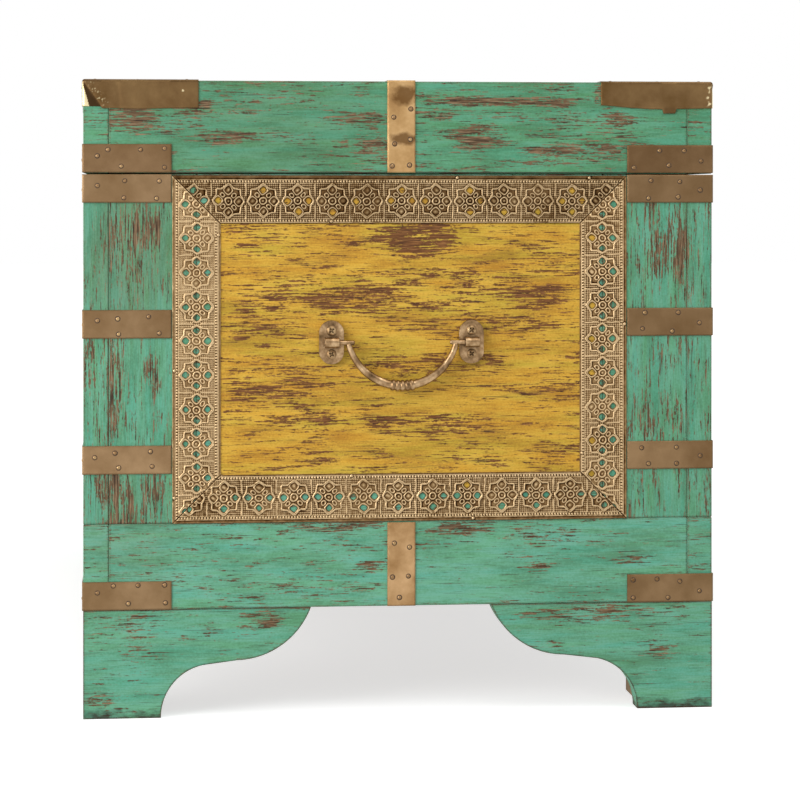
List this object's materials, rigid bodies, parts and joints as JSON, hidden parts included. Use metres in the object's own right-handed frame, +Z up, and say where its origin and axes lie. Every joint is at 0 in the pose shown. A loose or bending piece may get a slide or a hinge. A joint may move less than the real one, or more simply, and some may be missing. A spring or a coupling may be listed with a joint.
{
  "type": "arabic dowry chest",
  "caption": "Painted wooden storage chest on ogee bracket feet, with embossed brass frames, nailed brass straps, drop handles on its ends, a hinged flat lid and a hasp.",
  "frame": {"origin": "middle of the floor area under the feet", "axes": "+X along the chest towards the end in the picture, -Y out of the long front with the hasp, +Z up"},
  "size_m": [0.9232, 0.4737, 0.4517],
  "materials": {
    "teal_painted_wood": "distressed satin paint, worn to brown wood along edges and grain",
    "yellow_painted_wood": "distressed satin paint with brown streaks",
    "bare_wood": "unpainted sawn wood",
    "embossed_brass": "antique embossed and pierced sheet, dark in its hollows",
    "plain_brass": "dull aged sheet",
    "brass_nails": "dull domed heads",
    "cast_bronze": "antique cast, grey brown",
    "dull_steel": "dull"
  },
  "bodies": {
    "carcass": {"front_bottom_rail": "teal_painted_wood", "front_left_stile": "teal_painted_wood", "front_right_stile": "teal_painted_wood", "front_centre_stile": "teal_painted_wood", "back_bottom_rail": "teal_painted_wood", "back_left_stile": "teal_painted_wood", "back_right_stile": "teal_painted_wood", "back_planks": "teal_painted_wood", "left_bottom_rail": "teal_painted_wood", "left_front_stile": "teal_painted_wood", "left_back_stile": "teal_painted_wood", "right_bottom_rail": "teal_painted_wood", "right_front_stile": "teal_painted_wood", "right_back_stile": "teal_painted_wood", "front_left_foot": "teal_painted_wood", "front_right_foot": "teal_painted_wood", "back_left_foot": "teal_painted_wood", "back_right_foot": "teal_painted_wood", "front_left_panel": "yellow_painted_wood", "front_right_panel": "yellow_painted_wood", "left_panel": "yellow_painted_wood", "right_panel": "yellow_painted_wood", "floor_board": "bare_wood", "floor_battens": "bare_wood", "corner_blocks": "bare_wood", "front_left_embossed_frame": "embossed_brass", "front_right_embossed_frame": "embossed_brass", "left_embossed_frame": "embossed_brass", "right_embossed_frame": "embossed_brass", "base_corner_straps": "plain_brass", "lower_corner_straps": "plain_brass", "upper_corner_straps": "plain_brass", "rim_corner_straps": "plain_brass", "centre_stile_straps": "plain_brass", "base_centre_straps": "plain_brass", "hinge_body_leaves": "plain_brass", "hasp_plate": "plain_brass", "body_nails": "brass_nails", "left_handle_mounts": "cast_bronze", "right_handle_mounts": "cast_bronze", "body_screws": "dull_steel", "hinge_pins": "dull_steel", "hasp_pin": "dull_steel"},
    "lid": {"lid_front_board": "teal_painted_wood", "lid_back_board": "teal_painted_wood", "lid_left_board": "teal_painted_wood", "lid_right_board": "teal_painted_wood", "lid_top_planks": "teal_painted_wood", "lid_battens": "bare_wood", "lid_corner_straps": "plain_brass", "lid_centre_straps": "plain_brass", "lid_corner_caps": "plain_brass", "lid_staple": "plain_brass", "lid_nails": "brass_nails", "lid_screws": "dull_steel", "hinge_lid_leaves": "plain_brass"},
    "hasp": {"hasp_leaf": "plain_brass"},
    "left_bail": {"left_bail": "cast_bronze"},
    "right_bail": {"right_bail": "cast_bronze"}
  },
  "joints": [
    {"name": "lid_hinge", "type": "hinge", "parent": "carcass", "child": "lid", "pos_m": [0, 0.2286, 0.3841], "axis": [-1, 0, 0], "range_deg": [0, 100]},
    {"name": "hasp_hinge", "type": "hinge", "parent": "carcass", "child": "hasp", "pos_m": [0, -0.2284, 0.375], "axis": [-1, 0, 0], "range_deg": [0, 180]},
    {"name": "right_bail_swing", "type": "hinge", "parent": "carcass", "child": "right_bail", "pos_m": [0.458, 0, 0.2645], "axis": [0, -1, 0], "range_deg": [0, 180]},
    {"name": "left_bail_swing", "type": "hinge", "parent": "carcass", "child": "left_bail", "pos_m": [-0.458, 0, 0.2645], "axis": [0, 1, 0], "range_deg": [0, 180]}
  ]
}
